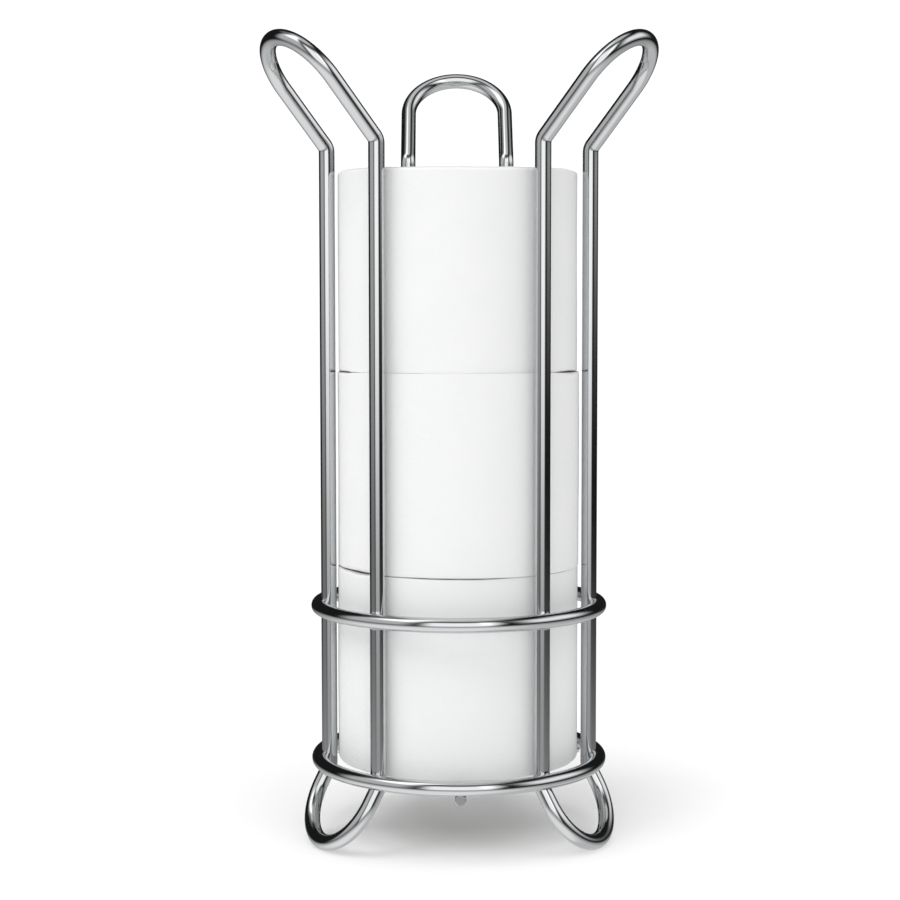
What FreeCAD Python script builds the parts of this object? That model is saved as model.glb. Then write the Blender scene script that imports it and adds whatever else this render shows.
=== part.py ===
"""Free-standing chrome wire holder for a stack of toilet rolls, with the rolls in it.

Lengths are in millimetres and angles in degrees. +Z is up. The origin is on the floor
under the middle of the stack, and the front of the holder faces -Y.
"""
import FreeCAD
import Part
import math
import os

# The rolls that the holder is made for.
roll_diameter = 124.4
roll_height = 99.9
roll_edge_round = 2.0
core_diameter = 42.0
core_wall = 1.0

# Room round the rolls: between a roll and what it stands on, and beside the uprights.
roll_gap = 0.3
roll_clearance = 1.5

# The wires, and how deep one is pressed into the next where they are welded.
loop_wire = 8.0
ring_wire = 7.5
spoke_wire = 5.5
loop_weld_depth = 2.45
spoke_weld_depth = 1.2

# The three loops, each one closed wire: foot, two uprights and handle.
upright_spacing = 53.7
wire_bend_radius = 5.5
foot_lean = 30.0
foot_arm = 9.2
foot_bend_drop = 3.6
foot_flat_depth = 0.3
handle_lean = 40.0
handle_bend_rise = 13.4
handle_arm = 36.7
loop_names = ("upright_loop_rear", "upright_loop_left", "upright_loop_right")

# The two rings, and the three spokes under the lower one.
ring_spacing = 79.9
roll_seat_rise = 0.8
spoke_overhang = 2.2
spoke_crank_inset = 4.0
spoke_crank_run = 14.0
spoke_bend_radius = 10.0
spoke_names = ("base_spoke_left", "base_spoke_front", "base_spoke_right")

# Loops and spokes alternate round the stand, from the rear loop on.
rear_angle = 90
third_angle = 360 / len(loop_names)

# How far a cutting solid runs past what it cuts.
cut_overrun = 5.0

roll_radius = roll_diameter / 2
core_radius = core_diameter / 2
half_spacing = upright_spacing / 2
upright_circle = roll_radius + roll_clearance + loop_wire / 2
loop_offset = math.sqrt(upright_circle ** 2 - half_spacing ** 2)
ring_radius = upright_circle + loop_wire / 2 + ring_wire / 2 - loop_weld_depth
foot_bottom = loop_wire / 2 - foot_flat_depth
foot_drop = (foot_arm + half_spacing) * math.cos(math.radians(foot_lean))
foot_bend_height = foot_bottom + foot_drop
base_ring_height = foot_bend_height + foot_bend_drop
upper_ring_height = base_ring_height + ring_spacing
stack_bottom = base_ring_height + roll_seat_rise
roll_pitch = roll_height + roll_gap
roll_levels = {
    place: stack_bottom + number * roll_pitch for number, place in enumerate(("bottom", "middle", "top"))}
stack_top = roll_levels["top"] + roll_height

ALONG_X = FreeCAD.Vector(1, 0, 0)
ALONG_Y = FreeCAD.Vector(0, 1, 0)
ALONG_Z = FreeCAD.Vector(0, 0, 1)
ORIGIN = FreeCAD.Vector(0, 0, 0)


def line(start, end):
    return Part.LineSegment(start, end).toShape()


def arc(centre, first, second, radius, start, end):
    """Arc about a centre, in the plane of two directions; angles run from first to second."""
    def at(angle):
        turn = math.radians(angle)
        return centre + first * (radius * math.cos(turn)) + second * (radius * math.sin(turn))
    return Part.Arc(at(start), at((start + end) / 2), at(end)).toShape()


def joined(curves):
    """Curves in order, with a straight piece across every gap between one and the next."""
    edges = [curves[0]]
    for curve in curves[1:]:
        edges.append(line(edges[-1].Vertexes[-1].Point, curve.Vertexes[0].Point))
        edges.append(curve)
    return Part.Wire(edges)


def swept(path, start, direction, diameter):
    """Round wire along a path that leaves the start in the given direction."""
    section = Part.Wire(Part.makeCircle(diameter / 2, start, direction))
    return path.makePipeShell([section], True, False)


def turned(shape, angle):
    copy = shape.copy()
    copy.rotate(ORIGIN, ALONG_Z, angle)
    return copy


def ring(height):
    return Part.makeTorus(ring_radius, ring_wire / 2, ALONG_Z * height)


def foot_curves():
    """The foot's quarter arch and the bend above it, from the floor upwards, on the +Y side."""
    lean = math.radians(foot_lean)
    down = ALONG_X * math.sin(lean) - ALONG_Z * math.cos(lean)
    corner = ALONG_X * loop_offset + ALONG_Z * foot_bend_height
    arch = arc(corner + down * foot_arm, down, ALONG_Y, half_spacing, 0, 90)
    tangent = wire_bend_radius * math.tan(lean / 2)
    middle = corner + ALONG_Y * half_spacing + ALONG_Z * tangent + ALONG_X * wire_bend_radius
    return [arch, arc(middle, -ALONG_X, -ALONG_Z, wire_bend_radius, foot_lean, 0)]


def handle_curves():
    """The bend above the rolls and the handle's quarter arch, upwards, on the +Y side."""
    lean = math.radians(handle_lean)
    up = ALONG_X * math.sin(lean) + ALONG_Z * math.cos(lean)
    corner = ALONG_X * loop_offset + ALONG_Z * (stack_top + handle_bend_rise)
    tangent = wire_bend_radius * math.tan(lean / 2)
    middle = corner + ALONG_Y * half_spacing - ALONG_Z * tangent + ALONG_X * wire_bend_radius
    bend = arc(middle, -ALONG_X, ALONG_Z, wire_bend_radius, 0, handle_lean)
    return [bend, arc(corner + up * handle_arm, up, ALONG_Y, half_spacing, 90, 0)]


def upright_loop():
    """One closed loop, leaning out along +X, with saddles for both rings and a flat to stand on."""
    path = joined(foot_curves() + handle_curves())
    half = swept(path, path.OrderedVertexes[0].Point, ALONG_Y, loop_wire)
    whole = half.fuse(half.mirror(ORIGIN, ALONG_Y)).removeSplitter()
    reach = ring_radius + stack_top
    floor = Part.makeBox(reach, reach, cut_overrun, FreeCAD.Vector(0, -reach / 2, -cut_overrun))
    for cutter in (ring(base_ring_height), ring(upper_ring_height), floor):
        whole = whole.cut(cutter)
    return whole


def base_spoke():
    """One spoke along +X: under the ring at its outer end, cranked up to the rolls inside it."""
    low = base_ring_height - ring_wire / 2 - spoke_wire / 2 + spoke_weld_depth
    high = stack_bottom - roll_gap - spoke_wire / 2
    outer = ring_radius - ring_wire / 2 - spoke_crank_inset
    inner = outer - spoke_crank_run
    slope = math.degrees(math.atan2(high - low, spoke_crank_run))
    tangent = spoke_bend_radius * math.tan(math.radians(slope / 2))
    first_middle = FreeCAD.Vector(inner - tangent, 0, high - spoke_bend_radius)
    second_middle = FreeCAD.Vector(outer + tangent, 0, low + spoke_bend_radius)
    first_bend = arc(first_middle, ALONG_Z, ALONG_X, spoke_bend_radius, 0, slope)
    second_bend = arc(second_middle, -ALONG_Z, -ALONG_X, spoke_bend_radius, slope, 0)
    inner_end = FreeCAD.Vector(-cut_overrun, 0, high)
    outer_end = FreeCAD.Vector(ring_radius + spoke_overhang, 0, low)
    path = Part.Wire([
        line(inner_end, first_bend.Vertexes[0].Point),
        first_bend,
        line(first_bend.Vertexes[-1].Point, second_bend.Vertexes[0].Point),
        second_bend,
        line(second_bend.Vertexes[-1].Point, outer_end),
    ])
    wire = swept(path, inner_end, ALONG_X, spoke_wire)
    return wire.common(spoke_wedge()).cut(ring(base_ring_height))


def spoke_wedge():
    """The third of the plan that belongs to a spoke along +X, so that three meet at the middle."""
    wedge = Part.makeCylinder(
        ring_radius + ring_wire, stack_bottom + cut_overrun, ORIGIN, ALONG_Z, third_angle)
    return turned(wedge, -third_angle / 2)


def roll_paper(level):
    """The wound paper: a thick tube with rounded rims outside and a hole for the core."""
    paper = Part.makeCylinder(roll_radius, roll_height, ALONG_Z * level)
    rims = [edge for edge in paper.Edges if isinstance(edge.Curve, Part.Circle)]
    paper = paper.makeFillet(roll_edge_round, rims)
    hole = Part.makeCylinder(core_radius, roll_height + 2 * cut_overrun, ALONG_Z * (level - cut_overrun))
    return paper.cut(hole)


def roll_core(level):
    outside = Part.makeCylinder(core_radius, roll_height, ALONG_Z * level)
    inside = Part.makeCylinder(
        core_radius - core_wall, roll_height + 2 * cut_overrun, ALONG_Z * (level - cut_overrun))
    return outside.cut(inside)


def nodes():
    shapes = {"base_ring": ring(base_ring_height), "upper_ring": ring(upper_ring_height)}
    loop = upright_loop()
    for number, name in enumerate(loop_names):
        shapes[name] = turned(loop, rear_angle + number * third_angle)
    spoke = base_spoke()
    for number, name in enumerate(spoke_names):
        shapes[name] = turned(spoke, rear_angle + third_angle / 2 + number * third_angle)
    for place, level in roll_levels.items():
        shapes[place + "_roll_paper"] = roll_paper(level)
        shapes[place + "_roll_core"] = roll_core(level)
    return shapes


os.makedirs("parts", exist_ok=True)
for name, shape in nodes().items():
    shape.exportStep(os.path.join("parts", name + ".step"))
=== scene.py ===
"""Studio look of the chrome wire toilet roll holder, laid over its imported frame.

Every wire, roll and core is a surface worked out with numpy in the frame of the CAD part, in
metres. A round section carried along a line makes the loops, rings and spokes, and a profile
turned about the axis makes the rolls and cores.
"""
import math

import bpy
import numpy as np
from mathutils import Matrix, Vector


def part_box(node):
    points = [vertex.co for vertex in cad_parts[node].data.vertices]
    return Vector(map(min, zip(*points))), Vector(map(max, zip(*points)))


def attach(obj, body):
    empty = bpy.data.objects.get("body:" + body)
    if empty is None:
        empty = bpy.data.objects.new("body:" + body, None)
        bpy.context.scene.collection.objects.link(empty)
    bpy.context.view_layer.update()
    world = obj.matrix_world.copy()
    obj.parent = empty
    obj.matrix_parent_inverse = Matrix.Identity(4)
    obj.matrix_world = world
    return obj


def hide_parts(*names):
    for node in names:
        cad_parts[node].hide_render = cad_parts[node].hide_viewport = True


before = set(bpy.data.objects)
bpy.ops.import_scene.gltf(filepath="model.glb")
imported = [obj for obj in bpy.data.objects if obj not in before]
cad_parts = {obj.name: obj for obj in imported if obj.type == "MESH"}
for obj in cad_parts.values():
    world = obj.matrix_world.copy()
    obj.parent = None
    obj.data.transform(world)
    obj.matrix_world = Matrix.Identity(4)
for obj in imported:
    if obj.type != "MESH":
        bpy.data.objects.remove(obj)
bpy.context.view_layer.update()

MM = 0.001
FULL_TURN = 2 * math.pi
QUARTER_TURN = math.pi / 2

# Shape of one loop, as the CAD part has it; heights are read from the frame.
WIRE_RADIUS = 4.0 * MM
HALF_SPACING = 26.85 * MM
UPRIGHT_CIRCLE = 67.7 * MM
LOOP_OFFSET = math.sqrt(UPRIGHT_CIRCLE ** 2 - HALF_SPACING ** 2)
BEND_RADIUS = 5.5 * MM
FOOT_LEAN = math.radians(30)
FOOT_ARM = 9.2 * MM
FOOT_BEND_DROP = 3.6 * MM
HANDLE_LEAN = math.radians(40)
HANDLE_BEND_RISE = 13.4 * MM
HANDLE_ARM = 36.7 * MM

# Shape of one spoke. The last rows before its cut end go out and shrink by these shares of the bevel.
SPOKE_RADIUS = 2.75 * MM
SPOKE_CRANK_INSET = 4.0 * MM
SPOKE_CRANK_RUN = 14.0 * MM
SPOKE_BEND_RADIUS = 10.0 * MM
SPOKE_OVERHANG = 2.2 * MM
SPOKE_BEVEL = 0.3 * MM
BEVEL_OUT_SHARES = np.array([0.1, 0.9, 1, 1, 1])
BEVEL_SHRINK_SHARES = np.array([0.1, 0.9, 1, 1.1, 2])

# How wide a smooth weld is, and how far along an upright the fine rows for it reach each way.
WELD_BLEND = 0.9 * MM
WELD_REACH = 9.0 * MM

# Angles of the loops and spokes round the stand in degrees, seen from above, from +X.
LOOP_ANGLES = {"upright_loop_rear": 90, "upright_loop_left": 210, "upright_loop_right": 330}
SPOKE_ANGLES = {"base_spoke_left": 150, "base_spoke_front": 270, "base_spoke_right": 30}

# Half of the angle that a spoke has to itself at the axis, in radians.
SPOKE_HALF_ANGLE = math.radians(60)

# Rows along the wires and sides round them. A loop's upright side has five stretches, and so has a spoke.
LOOP_STRETCH_ROWS = (6, 16, 40, 20, 8)
LOOP_WELD_ROWS = 31
LOOP_ARCH_ROWS = 145
LOOP_SIDES = 48
RING_ROWS = 720
RING_SIDES = 40
SPOKE_STRETCH_ROWS = (14, 14, 14, 14, 14)
SPOKE_SIDES = 32

# Steps in which a bent line is summed up, and decimals of a metre to which its rows are placed.
LEAN_STEPS = 40000
PLACE_DIGITS = 7

# Rims of the rolls. Each pair is for a shut seam and for an open one, and how far a rim lies back
# fades out over a share of the roll's height.
RIM_RADIUS = (0.1 * MM, 2.0 * MM)
RIM_BACK = (-0.17 * MM, 0.29 * MM)
RIM_RAGGED = (0.25 * MM, 1.05 * MM)
RIM_FADE_SHARE = 0.1

# Wall of the rolls: the step where the last sheet ends, how that tail lifts, and the depths between which
# the outer layers come to follow the wall. An upper end stands up from a share of the roll's height on.
SHEET_STEP = 0.32 * MM
TAIL_LIFT = 0.45 * MM
TAIL_TURN_SHARE = 0.012
TAIL_EVEN_SHARE = 0.6
TAIL_WAVE = 21.0 * MM
LOOSE_DEPTH = 7.0 * MM
SKIN_DEPTH = 1.0 * MM
LIFT_START_SHARE = 0.55

# Layers on the rolls' ends, drawn coarser than the sheets are so that they show.
LAYER_PITCH = 1.3 * MM
LAYER_GROOVE = 0.2 * MM
LAYER_GROOVE_SHARE = 0.55
LAYER_SINK = 0.14 * MM
LAYER_INNER_FADE = 1.0 * MM
LAYER_OUTER_FADE = (4.0 * MM, 2.0 * MM)

# Unevenness as sums of sines. Each has a size, a rate, the share of the roll's seed that shifts it, and its
# radians to a millimetre of height. Sizes are in millimetres, and for rims in shares of their raggedness.
# The rate is in waves to a turn round the roll, and for layers in radians to a turn of the winding.
RAGGED_WAVES = ((0.07, 11, 3, 0), (0.05, 17, 1, 0), (0.04, 29, 0, 0))
WALL_WAVES = ((0.16, 2, 1, 0), (0.10, 3, 2.1, 0), (0.06, 7, 1.3, 1 / 17), (0.05, 5, -0.7, -1 / 23))
LAYER_WAVES = ((0.07, 2.33, 1, 0), (0.06, 10.17, 0, 0), (0.05, 17.2, 1, 0))

# Cores: radius and wall of the board tube, how far it keeps off the paper, and the groove at its lap.
CORE_RADIUS = 21.0 * MM
CORE_WALL = 1.0 * MM
CORE_INSET = 0.05 * MM
LAP_PITCH = 62.0 * MM
LAP_DEPTH = 0.22 * MM
LAP_HALF_WIDTH = 0.9 * MM
LAP_FADE = 1.0 * MM

# Rows and columns of the rolls' and cores' meshes.
ROLL_COLUMNS = 330
END_ROWS = 100
RIM_ROWS = 7
WALL_ROWS = 62
HOLE_ROWS = 5
HOLE_INSET = 1.0 * MM
CORE_ROWS = 72
CORE_COLUMNS = 120

# Length of one unit of the sheet's UV map.
SHEET_UNIT = 100 * MM

# How open each seam is by angle round the stand, from 0, shut, to 1, open. The front is at 270 degrees.
OPEN_END = {0: 1}
PRESSED_END = {0: 0.3}
LOWER_SEAM = {
    0: 0.1, 60: 0.8, 100: 0.5, 140: 0.9, 175: 0.3, 190: 0.4, 203: 0.75, 213: 1, 222: 0.9, 235: 0.3,
    250: 0.32, 265: 0.5, 278: 0.42, 290: 0.22, 305: 0.14, 325: 0.16, 345: 0.12}
UPPER_SEAM = {
    0: 0.35, 45: 0.6, 90: 0.3, 135: 0.7, 175: 0.3, 185: 0.35, 192: 0.75, 205: 0.65, 210: 0.2, 217: 0.05,
    235: 0.03, 248: 0.05, 262: 0, 312: 0, 321: 0.12, 327: 0.5, 333: 0.85, 341: 0.7, 349: 0.35}

# For each roll: a seed that makes it differ, the angle where its last sheet ends, its seams, how far the
# sides of its upper end stand up, how much stouter than its solid it is, and its push to the right.
ROLLS = {
    "bottom": {"seed": 1.0, "tail": 75, "lower_seam": PRESSED_END, "upper_seam": LOWER_SEAM,
               "upper_lift": 0, "girth": 0.1 * MM, "aside": -0.5 * MM},
    "middle": {"seed": 3.4, "tail": 128, "lower_seam": LOWER_SEAM, "upper_seam": UPPER_SEAM,
               "upper_lift": 0, "girth": 0.3 * MM, "aside": -0.15 * MM},
    "top": {"seed": 5.8, "tail": 42, "lower_seam": UPPER_SEAM, "upper_seam": OPEN_END,
            "upper_lift": 2.2 * MM, "girth": -0.4 * MM, "aside": -0.4 * MM},
}

# Sockets of a Mix node, which share their names: two colours and their mix, two numbers and theirs.
FIRST_COLOUR, SECOND_COLOUR, MIXED_COLOUR = 6, 7, 2
FIRST_NUMBER, SECOND_NUMBER, MIXED_NUMBER = 2, 3, 0

# Radians that a wave texture goes through in one unit at scale 1.
WAVE_RADIANS = 20

# Lamps for the paper and the floor: turn from the camera's side and rise, in degrees, with right and
# up positive, and power in watts. All are square, and aim at one height on the stand's axis.
LAMPS = {
    "key_high_left": (-60, 50, 19.5),
    "fill_high_right": (60, 50, 5.5),
    "front_high": (0, 50, 2.0),
    "front": (0, 12, 8.0),
    "overhead": (0, 88, 9.5),
    "back": (180, 25, 7.0),
}
LAMP_DISTANCE = 2.4
LAMP_SIZE = 1.35
LAMP_AIM_HEIGHT = 0.15

# What the chrome shows: turn and rise of each panel as for the lamps, its half width and height, the
# width and height of its soft edge, all in degrees, and its brightness.
PANELS = {
    "front softbox": (0, 20, 20, 15, 15, 20, 1.35),
    "strip beside it": (27, 32, 5, 12, 8, 14, 0.7),
    "skirt under it": (0, -5, 15, 5, 15, 10, 0.15),
    "right softbox": (85, 27, 15, 6, 30, 25, 1.2),
    "high left softbox": (-66, 62, 12, 11, 20, 17, 1.45),
    "left wall": (-70, 27, 20, 14, 20, 32, 0.65),
    "left corner": (-110, 65, 20, 5, 30, 15, 0.2),
    "high front": (5, 60, 30, 20, 30, 15, 0.1),
    "ceiling": (0, 90, 180, 12, 1, 15, 0.7),
    "far floor": (0, -90, 180, 72, 1, 12, 0.25),
    "floor": (0, -90, 180, 50, 1, 35, 0.45),
    "lit floor": (-35, -90, 50, 50, 70, 35, 0.4),
}

# Brightness of the room between the panels, of the even glow on paper and floor, and of the backdrop.
ROOM = 0.014
AMBIENT = 0.55
BACKDROP = 1.05

# Floor: half its width, and the oval round the stand where it turns from paper to backdrop white.
FLOOR_HALF = 3.0
OVAL_SHIFT = (0.01, -0.09, 0)
OVAL_WIDTH_SHARE = 0.85
OVAL_FADE = (0.09, 0.24)

# Camera, as found from the photograph: lens in pixels of its 900, and turns in radians.
PHOTO_PIXELS = 900
LENS_PIXELS = 1823.1
SENSOR_WIDTH = 36.0
CAMERA_CLIP = (0.01, 50.0)
CAMERA_DISTANCE = 944.6 * MM
CAMERA_HEIGHT = 260.9 * MM
CAMERA_SWING = 0.0114
CAMERA_PAN = 0.00477
CAMERA_TILT = 0.06593
CAMERA_ROLL = -0.0009


def ring_sizes(node):
    """Height, centre-line radius and wire radius of a ring, from its node's box."""
    low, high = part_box(node)
    wire = (high.z - low.z) / 2
    return (low.z + high.z) / 2, high.x - wire, wire


BASE_HEIGHT, RING_RADIUS, RING_WIRE = ring_sizes("base_ring")
UPPER_HEIGHT = ring_sizes("upper_ring")[0]
STACK_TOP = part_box("top_roll_paper")[1].z


# Mesh making

def cell_corners(grid, axis):
    """The four corners of every cell of a grid, in order round the cell."""
    return np.stack([grid[:-1, :-1], grid[:-1, 1:], grid[1:, 1:], grid[1:, :-1]], axis)


def grid_piece(name, points, material, wrap_rows=False, poles=(), uv=None):
    """Piece from a grid of points, rows by columns by xyz, whose columns close on themselves.

    The rows close as well where wrap_rows says so, or else each end is a fan of triangles round
    one of the two poles. uv, where given, holds one more line each way, so that a pattern closes.
    """
    rows, columns = points.shape[:2]
    number = np.arange(rows * columns).reshape(rows, columns)
    full = np.pad(number, ((0, wrap_rows), (0, 1)), mode="wrap")
    quads = cell_corners(full, -1).reshape(-1, 4)
    corners, sides = [quads.reshape(-1)], [np.full(len(quads), 4)]
    for pole, edge in enumerate((full[0, ::-1], full[-1])[:len(poles)]):
        fan = np.stack([edge[:-1], edge[1:], np.full(columns, rows * columns + pole)], -1)
        corners.append(fan.reshape(-1))
        sides.append(np.full(columns, 3))
    corners, sides = np.concatenate(corners), np.concatenate(sides)
    places = np.concatenate([points.reshape(-1, 3), np.reshape(poles, (-1, 3))])
    mesh = bpy.data.meshes.new(name)
    mesh.vertices.add(len(places))
    mesh.vertices.foreach_set("co", places.reshape(-1).astype(np.float32))
    mesh.loops.add(len(corners))
    mesh.loops.foreach_set("vertex_index", corners.astype(np.int32))
    mesh.polygons.add(len(sides))
    mesh.polygons.foreach_set("loop_start", (np.cumsum(sides) - sides).astype(np.int32))
    mesh.polygons.foreach_set("use_smooth", np.ones(len(sides), dtype=bool))
    if uv is not None:
        wound = cell_corners(uv, -2).reshape(-1)
        mesh.uv_layers.new(name="wound").data.foreach_set("uv", wound.astype(np.float32))
    mesh.update(calc_edges=True)
    mesh.validate()
    mesh.materials.append(material)
    piece = bpy.data.objects.new(name, mesh)
    bpy.context.scene.collection.objects.link(piece)
    return piece


def tube_points(centre, first, second, radius, sides):
    """Round wire along a line of centres, for angles round the wire.

    Each point is its centre plus the radius times (cosine of the angle times the first direction
    plus sine of the angle times the second). Returns the points and their outward directions.
    """
    angle = np.linspace(0, FULL_TURN, sides, endpoint=False)[None, :, None]
    outward = np.cos(angle) * first[:, None] + np.sin(angle) * second[:, None]
    return centre[:, None] + np.asarray(radius).reshape(-1, 1, 1) * outward, outward


def turned(points, degrees):
    """Points turned about the stand's axis."""
    cosine, sine = math.cos(math.radians(degrees)), math.sin(math.radians(degrees))
    return points @ np.array([[cosine, sine, 0], [-sine, cosine, 0], [0, 0, 1]])


def smooth_step(low, high, value):
    """0 below low, 1 above high, and between them the cubic of the share that is level at both."""
    share = np.clip((value - low) / (high - low), 0, 1)
    return share * share * (3 - 2 * share)


def between(ends, share):
    """The value that lies the given share of the way from the first end to the second."""
    return ends[0] + (ends[1] - ends[0]) * share


def sines(waves, angle, seed, up=0):
    """Sum of sines of the angle, each shifted by its share of the seed and by the height."""
    return sum(size * np.sin(rate * angle + seed_share * seed + climb * up / MM)
               for size, rate, seed_share, climb in waves)


# Wires

def weld_swell(distance):
    """How far a surface swells towards another at the given distance from it, for a smooth weld.

    A quarter of the blend width where they meet, falling with the square to nothing at that width.
    """
    near = np.clip(1 - np.abs(distance) / WELD_BLEND, 0, 1)
    return WELD_BLEND / 4 * near ** 2


def ring_distance(points, height):
    """Distance from points to the face of the ring at a height."""
    out = np.hypot(points[..., 0], points[..., 1]) - RING_RADIUS
    return np.hypot(out, points[..., 2] - height) - RING_WIRE


def upright_distance(points):
    """Distance from points to the face of the nearest upright."""
    distances = []
    for degrees in LOOP_ANGLES.values():
        local = turned(points, -degrees)
        away = np.hypot(local[..., 0] - LOOP_OFFSET, np.abs(local[..., 1]) - HALF_SPACING)
        distances.append(away - WIRE_RADIUS)
    return np.minimum.reduce(distances)


def row_places(ends, counts, extra=()):
    """Places along a line in order: evenly spaced between each end and the next, and any extra ones."""
    stretches = [np.linspace(start, end, count) for start, end, count in zip(ends, ends[1:], counts)]
    return np.unique(np.round(np.concatenate([*stretches, *extra]), PLACE_DIGITS))


def lean_line(distance, marks, leans, start):
    """Line in a plane whose lean from the vertical is piecewise linear in its length.

    Out and up are the running integrals of the sine and cosine of the lean, so a stretch of
    changing lean is a round bend. Returns out, up and lean at each distance.
    """
    fine = np.linspace(marks[0], marks[-1], LEAN_STEPS + 1)
    lean = np.interp(fine, marks, leans)
    step = fine[1] - fine[0]

    def running(values):
        return np.concatenate([[0], np.cumsum((values[1:] + values[:-1]) / 2 * step)])

    out = start[0] + np.interp(distance, fine, running(np.sin(lean)))
    up = start[1] + np.interp(distance, fine, running(np.cos(lean)))
    return out, up, np.interp(distance, fine, lean)


def loop_points():
    """One loop along +X: a stadium, two straights and two half circles, drawn on a bent sheet.

    The sheet leans out at the foot, stands upright, and leans out again at the handle. The
    sheet's own normal and the line across it carry the wire's round section. The wire swells
    into both rings, and is flat where it stands on the floor.
    """
    foot_tangent = BEND_RADIUS * math.tan(FOOT_LEAN / 2)
    handle_tangent = BEND_RADIUS * math.tan(HANDLE_LEAN / 2)
    foot_corner = BASE_HEIGHT - FOOT_BEND_DROP
    handle_corner = STACK_TOP + HANDLE_BEND_RISE
    foot_reach = FOOT_ARM + HALF_SPACING
    lengths = [
        foot_reach - foot_tangent,
        BEND_RADIUS * FOOT_LEAN,
        handle_corner - handle_tangent - foot_corner - foot_tangent,
        BEND_RADIUS * HANDLE_LEAN,
        HANDLE_ARM - handle_tangent + HALF_SPACING]
    marks = np.concatenate([[0], np.cumsum(lengths)])
    leans = [-FOOT_LEAN, -FOOT_LEAN, 0, 0, HANDLE_LEAN, HANDLE_LEAN]
    start = (LOOP_OFFSET + foot_reach * math.sin(FOOT_LEAN), foot_corner - foot_reach * math.cos(FOOT_LEAN))
    bottom, top = HALF_SPACING, marks[-1] - HALF_SPACING
    floor_mark = marks[2] - foot_corner - foot_tangent
    weld_rows = np.linspace(-WELD_REACH, WELD_REACH, LOOP_WELD_ROWS)
    welds = [floor_mark + height + weld_rows for height in (BASE_HEIGHT, UPPER_HEIGHT)]
    side = row_places([bottom, *marks[1:-1], top], LOOP_STRETCH_ROWS, welds)
    side = side[(side > bottom) & (side < top)]
    turn = np.linspace(0, math.pi, LOOP_ARCH_ROWS)
    straight = np.ones(side.shape)
    run_along = np.concatenate([-np.cos(turn), straight, np.cos(turn), -straight])
    run_across = np.concatenate([np.sin(turn), 0 * straight, -np.sin(turn), 0 * straight])
    along = np.concatenate([
        bottom - HALF_SPACING * np.sin(turn), side, top + HALF_SPACING * np.sin(turn), side[::-1]])
    across = HALF_SPACING * run_along
    out, up, lean = lean_line(along, marks, leans, start)
    centre = np.stack([out, across, up], -1)
    normal = np.stack([np.cos(lean), 0 * lean, -np.sin(lean)], -1)
    tangent = np.stack([run_along * np.sin(lean), run_across, run_along * np.cos(lean)], -1)
    points, outward = tube_points(centre, normal, np.cross(tangent, normal), WIRE_RADIUS, LOOP_SIDES)
    nearest = np.minimum(ring_distance(points, BASE_HEIGHT), ring_distance(points, UPPER_HEIGHT))
    points = points + outward * weld_swell(nearest)[..., None]
    points[..., 2] = np.maximum(points[..., 2], 0)
    return points


def ring_points(height):
    """Ring of round wire about the axis, swelling into the uprights where they are welded."""
    turn = np.linspace(0, FULL_TURN, RING_ROWS, endpoint=False)
    radial = np.stack([np.cos(turn), np.sin(turn), 0 * turn], -1)
    centre = radial * RING_RADIUS + np.array([0, 0, height])
    upward = np.tile([0.0, 0.0, 1.0], (RING_ROWS, 1))
    points, outward = tube_points(centre, upward, radial, RING_WIRE, RING_SIDES)
    return points + outward * weld_swell(upright_distance(points))[..., None]


def spoke_points():
    """Spoke along +X: level under the rolls, cranked down to pass under the ring, cut square outside.

    The cut end keeps its flat face and a small bevel: the last rows shrink in radius at the end.
    The inner end is cut to the third of the circle that is its own, so that three meet at the axis.
    Returns the rows and the poles that close both ends.
    """
    low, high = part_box("base_spoke_front")
    lower, upper = low.z + SPOKE_RADIUS, high.z - SPOKE_RADIUS
    outer = RING_RADIUS - RING_WIRE - SPOKE_CRANK_INSET
    inner = outer - SPOKE_CRANK_RUN
    end = RING_RADIUS + SPOKE_OVERHANG
    slope = math.atan2(upper - lower, SPOKE_CRANK_RUN)
    tangent = SPOKE_BEND_RADIUS * math.tan(slope / 2)
    lengths = [
        inner - tangent,
        SPOKE_BEND_RADIUS * slope,
        math.hypot(SPOKE_CRANK_RUN, upper - lower) - 2 * tangent,
        SPOKE_BEND_RADIUS * slope,
        end - SPOKE_BEVEL - outer - tangent]
    marks = np.concatenate([[0], np.cumsum(lengths)])
    level, sloping = QUARTER_TURN, QUARTER_TURN + slope
    along = row_places(marks, SPOKE_STRETCH_ROWS)
    out, up, lean = lean_line(along, marks, [level, level, sloping, sloping, level, level], (0, upper))
    past = BEVEL_OUT_SHARES * SPOKE_BEVEL
    out = np.concatenate([out, out[-1] + past])
    up = np.concatenate([up, np.full(past.shape, up[-1])])
    lean = np.concatenate([lean, np.full(past.shape, level)])
    radius = np.concatenate([
        np.full(along.shape, SPOKE_RADIUS), SPOKE_RADIUS - BEVEL_SHRINK_SHARES * SPOKE_BEVEL])
    centre = np.stack([out, 0 * out, up], -1)
    normal = np.stack([np.cos(lean), 0 * out, -np.sin(lean)], -1)
    aside = np.tile([0.0, 1.0, 0.0], (len(out), 1))
    points = tube_points(centre, normal, aside, radius, SPOKE_SIDES)[0]
    points[0, :, 0] = np.abs(points[0, :, 1]) / math.tan(SPOKE_HALF_ANGLE)
    return points, centre[[0, -1]]


# Rolls and cores

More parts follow.
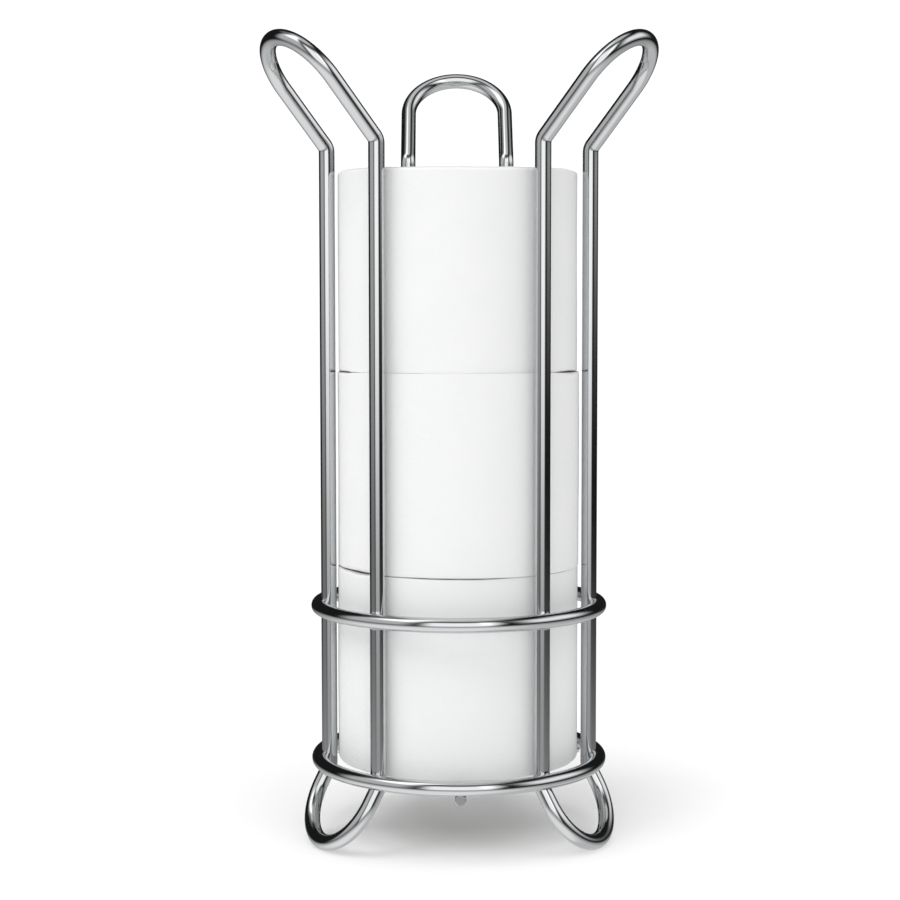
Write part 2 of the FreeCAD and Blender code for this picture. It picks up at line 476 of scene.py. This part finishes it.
def roll_profile(radius, height, lower_rim, upper_rim):
    """Closed profile of a roll, as out and up: lower end, rim, wall, rim, upper end and core hole.

    Each rim is a quarter circle. The rims' radii differ from column to column, so the profile does too.
    """
    arc = np.linspace(0, QUARTER_TURN, RIM_ROWS + 2)[1:-1, None]
    share_out = np.linspace(0, 1, END_ROWS)[:, None]
    share_up = np.linspace(0, 1, WALL_ROWS)[:, None]
    hole_up = np.linspace(height - HOLE_INSET, HOLE_INSET, HOLE_ROWS)[:, None]
    all_round = np.ones(lower_rim.shape)
    out = np.concatenate([
        CORE_RADIUS + share_out * (radius - lower_rim - CORE_RADIUS),
        radius - lower_rim + lower_rim * np.sin(arc),
        radius * np.ones(share_up.shape) * all_round,
        radius - upper_rim + upper_rim * np.cos(arc),
        CORE_RADIUS + share_out[::-1] * (radius - upper_rim - CORE_RADIUS),
        CORE_RADIUS * np.ones(hole_up.shape) * all_round])
    up = np.concatenate([
        0 * share_out * all_round,
        lower_rim - lower_rim * np.cos(arc),
        lower_rim + share_up * (height - lower_rim - upper_rim),
        height - upper_rim + upper_rim * np.sin(arc),
        height * np.ones(share_out.shape) * all_round,
        hole_up * all_round])
    return out, up


def layer_rise(out, share, radius, seed):
    """How far the layers of a wound end stand out of it, at a distance out and a share of a turn.

    The turns counted from the axis, less the share of a turn, tell one layer from the next. Each
    layer's height is a sum of sines of its length in turns, with a groove between layers, and it
    all fades out near the hole and near the rim.
    """
    turns = out / LAYER_PITCH - share
    layer = np.floor(turns)
    off_middle = np.abs(turns - layer - 0.5) * 2
    groove = LAYER_GROOVE * smooth_step(LAYER_GROOVE_SHARE, 1, off_middle)
    swell = sines(LAYER_WAVES, layer + share, seed) * MM - groove - LAYER_SINK
    outer_start, outer_end = LAYER_OUTER_FADE
    from_hole = smooth_step(CORE_RADIUS, CORE_RADIUS + LAYER_INNER_FADE, out)
    return swell * from_hole * (1 - smooth_step(radius - outer_start, radius - outer_end, out))


def roll_points(node, seed, tail, lower_seam, upper_seam, upper_lift, girth, aside):
    """Wound roll: its profile turned about the axis, with columns from the tail right round to it.

    The wall's radius falls by one sheet over a turn, so the last sheet ends in a step at the
    tail, where it lifts a little. Girth is added to that radius all round, and aside times the
    cosine of the angle pushes the soft roll to one side. How open a seam is runs straight from
    one given angle to the next: where it is open the rim is round and lies back, where it is
    shut the rim is sharp and meets the next roll's. The upper end stands up by the lift times
    the squares of the share of the radius and of the cosine of the angle.
    """
    low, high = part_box(node)
    radius, height = high.x, high.z - low.z
    turn = np.linspace(0, FULL_TURN, ROLL_COLUMNS)[None]
    share = turn / FULL_TURN
    place = turn + math.radians(tail)
    opened = [np.interp(np.degrees(place), list(seam), list(seam.values()), period=360)
              for seam in (lower_seam, upper_seam)]
    ragged = sines(RAGGED_WAVES, place, seed)
    lower_rim, upper_rim = [between(RIM_RADIUS, openness) for openness in opened]
    lower_back, upper_back = [between(RIM_BACK, openness) + ragged * between(RIM_RAGGED, openness)
                              for openness in opened]
    out, up = roll_profile(radius, height, lower_rim, upper_rim)
    share_up = up / height
    near_wall = smooth_step(radius - LOOSE_DEPTH, radius - SKIN_DEPTH, out)
    flutter = TAIL_EVEN_SHARE + (1 - TAIL_EVEN_SHARE) * np.sin(up / TAIL_WAVE + seed)
    lifted = TAIL_LIFT * np.exp(-share / TAIL_TURN_SHARE) * flutter
    wave = sines(WALL_WAVES, place, seed, up) * MM
    full = out + near_wall * (wave + girth + aside * np.cos(place) - SHEET_STEP * share + lifted)
    above = share_up > 0.5
    upper_down = -upper_back * smooth_step(1 - RIM_FADE_SHARE, 1, share_up)
    lower_up = lower_back * (1 - smooth_step(0, RIM_FADE_SHARE, share_up))
    rise = np.where(above, 1, -1) * layer_rise(out, share, radius, seed)
    rise = rise + near_wall * np.where(above, upper_down, lower_up)
    stand_up = (out / radius * np.cos(place)) ** 2 * smooth_step(LIFT_START_SHARE, 1, share_up)
    rise = rise + upper_lift * stand_up
    return np.stack([full * np.cos(place), full * np.sin(place), low.z + up + rise], -1)


def roll_uv(points, node):
    """Place on the wound sheet, in its units: arc length round the roll, and length along the profile."""
    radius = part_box(node)[1].x
    step = np.linalg.norm(np.diff(points[:, 0], axis=0, append=points[:1, 0]), axis=1)
    along = np.concatenate([[0], np.cumsum(step)])
    around = np.linspace(0, FULL_TURN, points.shape[1] + 1) * radius
    return np.stack(np.broadcast_arrays(around[None], along[:, None]), -1) / SHEET_UNIT


def core_points(node):
    """Board tube: a thin closed profile turned about the axis, grooved inside where its strip laps.

    The lap is a helix, and the groove's depth falls smoothly with the height above or below it.
    """
    low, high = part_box(node)
    radius = high.x
    level = np.linspace(low.z, high.z, CORE_ROWS)
    wall_out = np.repeat([radius - CORE_INSET, radius - CORE_WALL], CORE_ROWS)
    wall_up = np.concatenate([level, level[::-1]])
    turn = np.linspace(0, FULL_TURN, CORE_COLUMNS, endpoint=False)
    out, up, turn = np.broadcast_arrays(wall_out[:, None], wall_up[:, None], turn[None])
    laps = up / LAP_PITCH + turn / FULL_TURN
    off_lap = np.abs(laps - np.round(laps)) * LAP_PITCH
    inside = out < radius - CORE_WALL / 2
    fade = smooth_step(low.z, low.z + LAP_FADE, up) * (1 - smooth_step(high.z - LAP_FADE, high.z, up))
    full = out + LAP_DEPTH * (1 - smooth_step(0, LAP_HALF_WIDTH, off_lap)) * inside * fade
    return np.stack([full * np.cos(turn), full * np.sin(turn), up], -1)


# Materials

def linear(code):
    """sRGB hex to linear colour with alpha 1."""
    parts = [int(code[i:i + 2], 16) / 255 for i in (1, 3, 5)]
    return [c / 12.92 if c <= 0.04045 else ((c + 0.055) / 1.055) ** 2.4 for c in parts] + [1.0]


def add(tree, kind, settings=None, values=None):
    """Node of a kind, with its settings, and its inputs set to values or linked to sockets."""
    node = tree.nodes.new(kind)
    for name, value in (settings or {}).items():
        setattr(node, name, value)
    for name, value in (values or {}).items():
        if isinstance(value, bpy.types.NodeSocket):
            tree.links.new(value, node.inputs[name])
        else:
            node.inputs[name].default_value = value
    return node


def new_material(name):
    """Empty node material and its tree."""
    material = bpy.data.materials.new(name)
    material.use_nodes = True
    material.node_tree.nodes.clear()
    return material, material.node_tree


def chromed_wire():
    """Bright chrome plate on drawn steel wire: mirror-like, with faint smears and a trace of ripple."""
    material, tree = new_material("chrome_plate")
    place = add(tree, "ShaderNodeTexCoord").outputs["Object"]
    smear = add(tree, "ShaderNodeTexNoise", values={
        "Vector": place, "Scale": 1 / (22 * MM), "Detail": 4.0})
    rough = add(tree, "ShaderNodeMapRange", values={
        "Value": smear.outputs["Fac"], "From Min": 0.35, "From Max": 0.75,
        "To Min": 0.08, "To Max": 0.12})
    ripple = add(tree, "ShaderNodeTexNoise", values={
        "Vector": place, "Scale": 1 / (9 * MM), "Detail": 1.0})
    bump = add(tree, "ShaderNodeBump", values={
        "Height": ripple.outputs["Fac"], "Strength": 0.02, "Distance": 0.4 * MM})
    shader = add(tree, "ShaderNodeBsdfPrincipled", values={
        "Base Color": linear("#CBCDCE"), "Metallic": 1.0, "Roughness": rough.outputs["Result"],
        "Normal": bump.outputs["Normal"]})
    add(tree, "ShaderNodeOutputMaterial", values={"Surface": shader.outputs["BSDF"]})
    return material


def sheet_relief(tree, place):
    """Normal of the tissue sheet: pressed dimples 4.2 mm apart, crepe ripples and the tooth of its fibres.

    Ripples 3.2 mm long and fibres of 0.9 mm are coarser than real ones, so that they show.
    """
    sheet = add(tree, "ShaderNodeUVMap", {"uv_map": "wound"}).outputs["UV"]
    dimple = add(tree, "ShaderNodeTexVoronoi", values={
        "Vector": sheet, "Scale": SHEET_UNIT / (4.2 * MM), "Randomness": 0.35})
    dish = add(tree, "ShaderNodeMapRange", {"interpolation_type": "SMOOTHSTEP"}, {
        "Value": dimple.outputs["Distance"], "From Min": 0.08, "From Max": 0.34})
    crepe_place = add(tree, "ShaderNodeMapping", values={"Vector": sheet, "Scale": (1.0, 5.0, 1.0)})
    crepe = add(tree, "ShaderNodeTexNoise", values={
        "Vector": crepe_place.outputs["Vector"], "Scale": SHEET_UNIT / (3.2 * MM),
        "Detail": 3.0, "Roughness": 0.6})
    fibre = add(tree, "ShaderNodeTexNoise", values={
        "Vector": place, "Scale": 1 / (0.9 * MM), "Detail": 4.0})
    emboss = add(tree, "ShaderNodeBump", values={
        "Height": dish.outputs["Result"], "Strength": 0.22, "Distance": 0.25 * MM})
    creped = add(tree, "ShaderNodeBump", values={
        "Height": crepe.outputs["Fac"], "Strength": 0.35, "Distance": 0.25 * MM,
        "Normal": emboss.outputs["Normal"]})
    tooth = add(tree, "ShaderNodeBump", values={
        "Height": fibre.outputs["Fac"], "Strength": 0.15, "Distance": 0.15 * MM,
        "Normal": creped.outputs["Normal"]})
    return tooth.outputs["Normal"]


def wound_edges(tree, place):
    """Rings of the sheet's edges, drawn 1 mm apart so that they show, and where an end faces up or down."""
    layers = add(tree, "ShaderNodeTexWave", {"wave_type": "RINGS", "rings_direction": "Z"}, {
        "Vector": place, "Scale": FULL_TURN / WAVE_RADIANS / (1.0 * MM), "Distortion": 5.0,
        "Detail": 2.0, "Detail Scale": 0.3})
    normal = add(tree, "ShaderNodeNewGeometry").outputs["Normal"]
    facing = add(tree, "ShaderNodeSeparateXYZ", values={0: normal})
    level = add(tree, "ShaderNodeMath", {"operation": "ABSOLUTE"}, {0: facing.outputs["Z"]})
    on_end = add(tree, "ShaderNodeMapRange", values={
        "Value": level.outputs[0], "From Min": 0.6, "From Max": 0.9})
    return layers.outputs["Fac"], on_end.outputs["Result"]


def tissue_paper():
    """Creped, embossed tissue: matt white with a soft, slightly uneven tooth, and painted shade that greys
    the wound ends.
    """
    material, tree = new_material("embossed_tissue")
    place = add(tree, "ShaderNodeTexCoord").outputs["Object"]
    layers, on_end = wound_edges(tree, place)
    edges = add(tree, "ShaderNodeMath", {"operation": "MULTIPLY"}, {0: layers, 1: on_end})
    wound = add(tree, "ShaderNodeBump", values={
        "Height": edges.outputs[0], "Strength": 0.5, "Distance": 0.3 * MM,
        "Normal": sheet_relief(tree, place)})
    cloud = add(tree, "ShaderNodeTexNoise", values={
        "Vector": place, "Scale": 1 / (26 * MM), "Detail": 2.0})
    sheet_tone = add(tree, "ShaderNodeMix", {"data_type": "RGBA"}, {
        "Factor": cloud.outputs["Fac"], FIRST_COLOUR: linear("#EAEBEB"), SECOND_COLOUR: linear("#F0F0F0")})
    # Painted shade: the wound ends take two greys darker than the sheet, in rings along the layers, as if
    # they lay in shade.
    painted_shade_end_tone = add(tree, "ShaderNodeMix", {"data_type": "RGBA"}, {
        "Factor": layers, FIRST_COLOUR: linear("#DADAD8"), SECOND_COLOUR: linear("#C3C3C0")})
    tone = add(tree, "ShaderNodeMix", {"data_type": "RGBA"}, {
        "Factor": on_end, FIRST_COLOUR: sheet_tone.outputs[MIXED_COLOUR],
        SECOND_COLOUR: painted_shade_end_tone.outputs[MIXED_COLOUR]})
    shader = add(tree, "ShaderNodeBsdfPrincipled", values={
        "Base Color": tone.outputs[MIXED_COLOUR], "Roughness": 0.95, "Specular IOR Level": 0.2,
        "Sheen Weight": 0.15, "Sheen Roughness": 0.6, "Normal": wound.outputs["Normal"]})
    add(tree, "ShaderNodeOutputMaterial", values={"Surface": shader.outputs["BSDF"]})
    return material


def core_board():
    """Grey-brown chipboard strip wound to a tube: dull, flecked with fibre."""
    material, tree = new_material("wound_core_board")
    place = add(tree, "ShaderNodeTexCoord").outputs["Object"]
    fleck = add(tree, "ShaderNodeTexNoise", values={
        "Vector": place, "Scale": 1 / (1.6 * MM), "Detail": 6.0})
    cloud = add(tree, "ShaderNodeTexNoise", values={
        "Vector": place, "Scale": 1 / (14 * MM), "Detail": 3.0})
    both = add(tree, "ShaderNodeMath", {"operation": "MULTIPLY"}, {
        0: fleck.outputs["Fac"], 1: cloud.outputs["Fac"]})
    spread = add(tree, "ShaderNodeMapRange", values={
        "Value": both.outputs[0], "From Min": 0.12, "From Max": 0.42})
    tone = add(tree, "ShaderNodeMix", {"data_type": "RGBA"}, {
        "Factor": spread.outputs["Result"], FIRST_COLOUR: linear("#7A6852"),
        SECOND_COLOUR: linear("#A5937A")})
    bump = add(tree, "ShaderNodeBump", values={
        "Height": fleck.outputs["Fac"], "Strength": 0.3, "Distance": 0.2 * MM})
    shader = add(tree, "ShaderNodeBsdfPrincipled", values={
        "Base Color": tone.outputs[MIXED_COLOUR], "Roughness": 0.9, "Specular IOR Level": 0.25,
        "Normal": bump.outputs["Normal"]})
    add(tree, "ShaderNodeOutputMaterial", values={"Surface": shader.outputs["BSDF"]})
    return material


# The object

def place_piece(piece, body, node):
    """Lets a piece move with a body and stand for a node, whose own part is hidden."""
    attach(piece, body)
    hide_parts(node)


def add_wires():
    """Loops, rings and spokes, all fixed to the frame."""
    chrome = chromed_wire()
    loop = loop_points()
    for node, degrees in LOOP_ANGLES.items():
        piece = grid_piece("wire_" + node, turned(loop, degrees), chrome, wrap_rows=True)
        place_piece(piece, "frame", node)
    for node, height in (("base_ring", BASE_HEIGHT), ("upper_ring", UPPER_HEIGHT)):
        piece = grid_piece("wire_" + node, ring_points(height), chrome, wrap_rows=True)
        place_piece(piece, "frame", node)
    spoke, poles = spoke_points()
    for node, degrees in SPOKE_ANGLES.items():
        piece = grid_piece("wire_" + node, turned(spoke, degrees), chrome, poles=turned(poles, degrees))
        place_piece(piece, "frame", node)


def add_rolls():
    """Paper and core of each roll, which are lifted together."""
    tissue = tissue_paper()
    board = core_board()
    for level, shape in ROLLS.items():
        paper, core = level + "_roll_paper", level + "_roll_core"
        points = roll_points(paper, **shape)
        piece = grid_piece("tissue_" + level, points, tissue, wrap_rows=True, uv=roll_uv(points, paper))
        place_piece(piece, "roll_" + level, paper)
        piece = grid_piece("tube_" + level, core_points(core), board, wrap_rows=True)
        place_piece(piece, "roll_" + level, core)


# Studio

def add_lamp(name, turn, rise, power):
    """Square soft lamp, hidden from the chrome, which shows the room's panels instead."""
    light = bpy.data.lights.new(name, "AREA")
    light.shape = "SQUARE"
    light.size = LAMP_SIZE
    light.energy = power
    lamp = bpy.data.objects.new(name, light)
    bpy.context.scene.collection.objects.link(lamp)
    turn, rise = math.radians(turn), math.radians(rise)
    away = Vector((math.sin(turn) * math.cos(rise), -math.cos(turn) * math.cos(rise), math.sin(rise)))
    lamp.location = Vector((0, 0, LAMP_AIM_HEIGHT)) + LAMP_DISTANCE * away
    lamp.rotation_euler = away.to_track_quat("Z", "Y").to_euler()
    lamp.visible_glossy = False


def floor_paper():
    """Matt white paper sweep, which the camera sees turn to backdrop white a step from the stand."""
    material, tree = new_material("paper_sweep")
    path = add(tree, "ShaderNodeLightPath")
    place = add(tree, "ShaderNodeTexCoord").outputs["Object"]
    oval = add(tree, "ShaderNodeMapping", values={
        "Vector": place, "Location": OVAL_SHIFT, "Scale": (1 / OVAL_WIDTH_SHARE, 1, 1)})
    away = add(tree, "ShaderNodeVectorMath", {"operation": "LENGTH"}, {0: oval.outputs["Vector"]})
    fade = add(tree, "ShaderNodeMapRange", {"interpolation_type": "SMOOTHSTEP"}, {
        "Value": away.outputs["Value"], "From Min": OVAL_FADE[0], "From Max": OVAL_FADE[1]})
    paper = add(tree, "ShaderNodeBsdfDiffuse", values={"Color": linear("#FDFDFD")})
    white = add(tree, "ShaderNodeEmission", values={"Color": linear("#FFFFFF"), "Strength": BACKDROP})
    seen = add(tree, "ShaderNodeMixShader", values={
        "Fac": fade.outputs["Result"], 1: paper.outputs["BSDF"], 2: white.outputs["Emission"]})
    both = add(tree, "ShaderNodeMixShader", values={
        "Fac": path.outputs["Is Camera Ray"], 1: paper.outputs["BSDF"], 2: seen.outputs[0]})
    add(tree, "ShaderNodeOutputMaterial", values={"Surface": both.outputs[0]})
    return material


def add_floor():
    """Pale floor, hidden from the chrome, which shows the room's own floor instead."""
    corners = [(-FLOOR_HALF, -FLOOR_HALF, 0), (FLOOR_HALF, -FLOOR_HALF, 0),
               (FLOOR_HALF, FLOOR_HALF, 0), (-FLOOR_HALF, FLOOR_HALF, 0)]
    mesh = bpy.data.meshes.new("floor")
    mesh.from_pydata(corners, [], [(0, 1, 2, 3)])
    mesh.materials.append(floor_paper())
    floor = bpy.data.objects.new("floor", mesh)
    bpy.context.scene.collection.objects.link(floor)
    floor.visible_glossy = False


def panel_light(tree, turn, rise, panel):
    """One panel's light: its brightness within its half size, falling smoothly to 0 over its soft edge."""
    turned_to, raised_to, half_wide, half_high, soft_wide, soft_high, light = panel
    ways = ((turn, turned_to, half_wide, soft_wide), (rise, raised_to, half_high, soft_high))
    for angle, middle, half, soft in ways:
        off = add(tree, "ShaderNodeMath", {"operation": "SUBTRACT"}, {0: angle, 1: math.radians(middle)})
        size = add(tree, "ShaderNodeMath", {"operation": "ABSOLUTE"}, {0: off.outputs[0]})
        share = add(tree, "ShaderNodeMapRange", {"interpolation_type": "SMOOTHSTEP"}, {
            "Value": size.outputs[0], "From Min": math.radians(half), "From Max": math.radians(half + soft),
            "To Min": 1.0, "To Max": 0.0})
        lit = add(tree, "ShaderNodeMath", {"operation": "MULTIPLY"}, {0: share.outputs["Result"], 1: light})
        light = lit.outputs[0]
    return light


def add_world():
    """White to the camera, an even glow to paper and floor, and to the chrome a dim room with panels."""
    world = bpy.data.worlds.new("studio")
    world.use_nodes = True
    tree = world.node_tree
    tree.nodes.clear()
    direction = add(tree, "ShaderNodeTexCoord").outputs["Generated"]
    way = add(tree, "ShaderNodeSeparateXYZ", values={0: direction})
    front = add(tree, "ShaderNodeMath", {"operation": "MULTIPLY"}, {0: way.outputs["Y"], 1: -1.0})
    turn = add(tree, "ShaderNodeMath", {"operation": "ARCTAN2"}, {0: way.outputs["X"], 1: front.outputs[0]})
    rise = add(tree, "ShaderNodeMath", {"operation": "ARCSINE"}, {0: way.outputs["Z"]})
    total = ROOM
    for panel in PANELS.values():
        light = panel_light(tree, turn.outputs[0], rise.outputs[0], panel)
        total = add(tree, "ShaderNodeMath", {"operation": "ADD"}, {0: light, 1: total}).outputs[0]
    path = add(tree, "ShaderNodeLightPath")
    strength = add(tree, "ShaderNodeMix", values={
        "Factor": path.outputs["Is Glossy Ray"], FIRST_NUMBER: AMBIENT, SECOND_NUMBER: total})
    room = add(tree, "ShaderNodeBackground", values={
        "Color": linear("#FFFFFF"), "Strength": strength.outputs[MIXED_NUMBER]})
    white = add(tree, "ShaderNodeBackground", values={"Color": linear("#FFFFFF"), "Strength": BACKDROP})
    both = add(tree, "ShaderNodeMixShader", values={
        "Fac": path.outputs["Is Camera Ray"], 1: room.outputs[0], 2: white.outputs[0]})
    add(tree, "ShaderNodeOutputWorld", values={"Surface": both.outputs[0]})
    world.cycles.sampling_method = "NONE"
    bpy.context.scene.world = world


def add_camera():
    """Camera at the photograph's place: just left of the front, a little above the middle, long lens."""
    data = bpy.data.cameras.new("camera")
    data.sensor_width = SENSOR_WIDTH
    data.lens = LENS_PIXELS / PHOTO_PIXELS * SENSOR_WIDTH
    data.clip_start, data.clip_end = CAMERA_CLIP
    camera = bpy.data.objects.new("camera", data)
    bpy.context.scene.collection.objects.link(camera)
    left, back = CAMERA_DISTANCE * math.sin(CAMERA_SWING), CAMERA_DISTANCE * math.cos(CAMERA_SWING)
    camera.location = (-left, -back, CAMERA_HEIGHT)
    aim = (Matrix.Rotation(CAMERA_PAN - CAMERA_SWING, 3, "Z")
           @ Matrix.Rotation(QUARTER_TURN - CAMERA_TILT, 3, "X")
           @ Matrix.Rotation(CAMERA_ROLL, 3, "Z"))
    camera.rotation_euler = aim.to_euler()
    bpy.context.scene.camera = camera


add_wires()
add_rolls()
add_floor()
add_world()
add_camera()
for name, (turn, rise, power) in LAMPS.items():
    add_lamp(name, turn, rise, power)

bpy.context.scene.view_settings.view_transform = "Standard"
